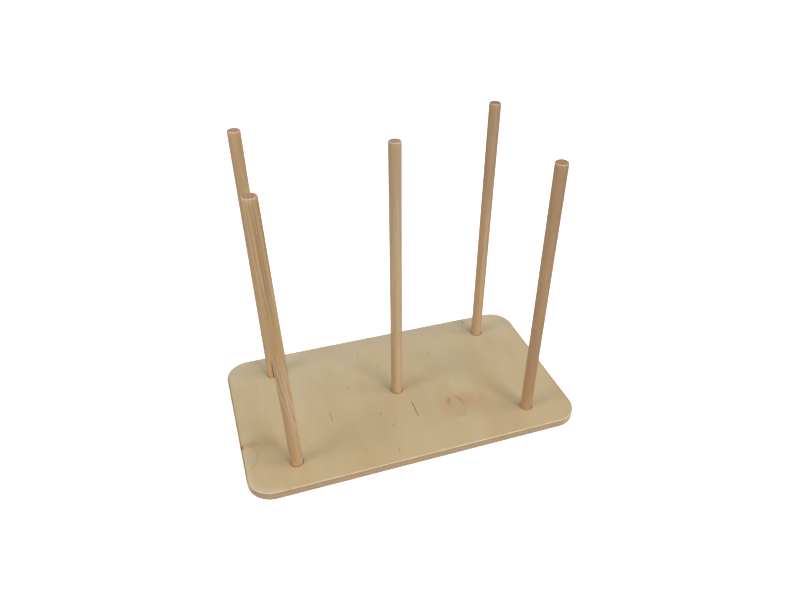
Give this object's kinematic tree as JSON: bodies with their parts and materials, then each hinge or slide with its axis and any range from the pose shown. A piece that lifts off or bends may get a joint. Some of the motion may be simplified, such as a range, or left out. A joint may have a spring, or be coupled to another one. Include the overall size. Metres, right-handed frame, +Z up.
{
  "type": "peg loom",
  "caption": "Table peg loom: a thin rounded-corner plywood board with tall round wooden pegs standing loose in drilled holes, one near each corner and one in the middle.",
  "frame": {"origin": "middle of the board's underside, which is where the centre peg stands", "axes": "+X along the board's length, +Y across its width from the front long edge to the rear one, +Z up along the pegs"},
  "size_m": [0.35, 0.2, 0.2942],
  "materials": {
    "birch_plywood": "bare, sanded",
    "dowel_wood": "bare, sanded"
  },
  "bodies": {
    "board": {"base_board": "birch_plywood"},
    "front_left_peg": {"peg_front_left": "dowel_wood"},
    "front_right_peg": {"peg_front_right": "dowel_wood"},
    "rear_left_peg": {"peg_rear_left": "dowel_wood"},
    "rear_right_peg": {"peg_rear_right": "dowel_wood"},
    "centre_peg": {"peg_centre": "dowel_wood"}
  },
  "joints": [
    {"name": "front_left_lift", "type": "slide", "parent": "board", "child": "front_left_peg", "axis": [-0.0279, 0.014, 0.9995], "range_m": [0, 0.04]},
    {"name": "front_right_lift", "type": "slide", "parent": "board", "child": "front_right_peg", "axis": [-0.0279, -0.0314, 0.9991], "range_m": [0, 0.04]},
    {"name": "rear_left_lift", "type": "slide", "parent": "board", "child": "rear_left_peg", "axis": [-0.0105, -0.0017, 0.9999], "range_m": [0, 0.04]},
    {"name": "rear_right_lift", "type": "slide", "parent": "board", "child": "rear_right_peg", "axis": [-0.0017, 0.0035, 1], "range_m": [0, 0.04]},
    {"name": "centre_lift", "type": "slide", "parent": "board", "child": "centre_peg", "axis": [0, 0.0157, 0.9999], "range_m": [0, 0.04]}
  ]
}
